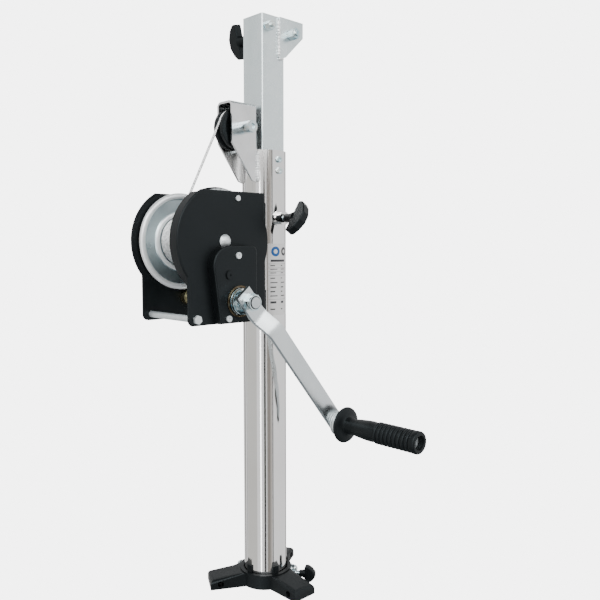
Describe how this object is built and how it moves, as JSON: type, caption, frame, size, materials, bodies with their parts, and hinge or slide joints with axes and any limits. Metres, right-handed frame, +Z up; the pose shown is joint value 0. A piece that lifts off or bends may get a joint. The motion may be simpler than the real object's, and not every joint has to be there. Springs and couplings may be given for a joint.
{
  "type": "winch lifting mast",
  "caption": "Telescopic lifting mast with a geared hand winch, wire rope over a top sheave, square tube in a round tube, wing knobs and a three-arm hub.",
  "frame": {"origin": "on the mast axis at the hub's underside", "axes": "+Z up the mast, winch on the -Y side, crank on the +X side"},
  "size_m": [0.297, 0.2526, 0.7873],
  "materials": {
    "chrome_tube": "polished chrome plate",
    "bright_steel": "bright zinc plate",
    "galvanised": "satin galvanised zinc",
    "zinc_fastener": "blue-white zinc plate",
    "black_frame": "fine textured black powder coat",
    "black_cast": "black coated casting",
    "black_plastic": "moulded black nylon",
    "grip_plastic": "moulded black grip with fine grain",
    "gear_steel": "machined zinc-plated steel",
    "drum_steel": "pressed zinc-plated steel",
    "brass": "yellow zinc and bronze",
    "friction": "brake lining",
    "wire_rope": "stranded galvanised wire",
    "label": "silver printed film"
  },
  "bodies": {
    "base": {"hub": "black_cast", "hub_liner": "black_plastic", "hub_bolts": "zinc_fastener", "outer_tube": "chrome_tube", "top_guide": "black_plastic", "guide_screws": "zinc_fastener", "lock_boss": "chrome_tube", "tube_label": "label", "pulley_bracket": "bright_steel", "sheave_axle": "zinc_fastener", "sheave_nut": "zinc_fastener", "far_plate": "black_frame", "near_plate": "black_frame", "back_plate": "black_frame", "mast_saddles": "black_frame", "saddle_bolts": "zinc_fastener", "gear_cover": "black_frame", "pinion_cover": "black_frame", "tie_rods": "zinc_fastener", "cover_screws": "zinc_fastener", "drum_shaft": "zinc_fastener", "pinion_bushes": "brass", "cover_ring": "brass", "pawl_pin": "black_frame", "lift_rope": "wire_rope", "rope_wrap": "wire_rope", "rope_drop": "wire_rope"},
    "mast": {"inner_tube": "galvanised", "foot_slider": "black_plastic", "rope_anchor": "zinc_fastener", "head_gusset": "galvanised", "head_bolts": "zinc_fastener", "head_boss": "zinc_fastener"},
    "drum": {"drum_flanges": "drum_steel", "drum_barrel": "drum_steel", "drum_gear": "gear_steel", "wound_rope": "wire_rope", "rope_clamp": "zinc_fastener"},
    "crank": {"pinion_shaft": "gear_steel", "pinion": "gear_steel", "ratchet_wheel": "gear_steel", "brake_discs": "friction", "pressure_hub": "zinc_fastener", "crank_arm": "bright_steel", "crank_nut": "zinc_fastener", "handle_bolt": "zinc_fastener"},
    "grip": {"handle_grip": "grip_plastic"},
    "sheave": {"sheave": "black_plastic"},
    "pawl": {"pawl": "gear_steel"},
    "lock_pad": {"lock_pad": "brass"},
    "lock_knob": {"lock_screw": "zinc_fastener", "lock_knob": "black_plastic"},
    "head_pad": {"head_pad": "brass"},
    "head_knob": {"head_screw": "zinc_fastener", "head_knob": "black_plastic"},
    "hub_pad": {"hub_pad": "brass"},
    "hub_knob": {"hub_screw": "zinc_fastener", "hub_knob": "black_plastic"}
  },
  "joints": [
    {"name": "mast_lift", "type": "slide", "parent": "base", "child": "mast", "axis": [0, 0, 1], "range_m": [0, 0.4], "deforming": ["rope_drop"]},
    {"name": "drum_turn", "type": "hinge", "parent": "base", "child": "drum", "pos_m": [-0.02, -0.1017, 0.483], "axis": [1, 0, 0], "range_deg": [0, 661]},
    {"name": "crank_turn", "type": "hinge", "parent": "base", "child": "crank", "pos_m": [0.06, -0.0888, 0.408], "axis": [1, 0, 0], "range_deg": [-3518, 0]},
    {"name": "sheave_turn", "type": "hinge", "parent": "base", "child": "sheave", "pos_m": [0, -0.0515, 0.63], "axis": [1, 0, 0], "range_deg": [0, 919]},
    {"name": "grip_spin", "type": "hinge", "parent": "crank", "child": "grip", "pos_m": [0.15, 0.05184, 0.23494], "axis": [1, 0, 0], "continuous": true},
    {"name": "pawl_swing", "type": "hinge", "parent": "base", "child": "pawl", "pos_m": [0.0493, -0.1049, 0.4413], "axis": [1, 0, 0], "range_deg": [0, 22], "stiffness_Nm_per_rad": 0.02},
    {"name": "lock_pad_slide", "type": "slide", "parent": "base", "child": "lock_pad", "axis": [1, 0, 0], "range_m": [0, 0.004]},
    {"name": "lock_knob_turn", "type": "hinge", "parent": "lock_pad", "child": "lock_knob", "pos_m": [0.055, 0, 0.514], "axis": [1, 0, 0], "range_deg": [0, 1080]},
    {"name": "head_pad_slide", "type": "slide", "parent": "mast", "child": "head_pad", "axis": [-1, 0, 0], "range_m": [0, 0.004]},
    {"name": "head_knob_turn", "type": "hinge", "parent": "head_pad", "child": "head_knob", "pos_m": [-0.05, 0, 0.763], "axis": [-1, 0, 0], "range_deg": [0, 1080]},
    {"name": "hub_pad_slide", "type": "slide", "parent": "base", "child": "hub_pad", "axis": [0.8387, 0.5446, 0], "range_m": [0, 0.0035]},
    {"name": "hub_knob_turn", "type": "hinge", "parent": "hub_pad", "child": "hub_knob", "pos_m": [0.04613, 0.02995, 0.0125], "axis": [0.8387, 0.5446, 0], "range_deg": [0, 1080]}
  ],
  "couplings": [
    {"joint": "drum_turn", "follows": "mast_lift", "rad_per_m": 28.736},
    {"joint": "crank_turn", "follows": "mast_lift", "rad_per_m": -153.26},
    {"joint": "sheave_turn", "follows": "mast_lift", "rad_per_m": 40},
    {"joint": "lock_pad_slide", "follows": "lock_knob_turn", "m_per_rad": 0.00019894},
    {"joint": "head_pad_slide", "follows": "head_knob_turn", "m_per_rad": 0.00019894},
    {"joint": "hub_pad_slide", "follows": "hub_knob_turn", "m_per_rad": 0.00015915}
  ]
}
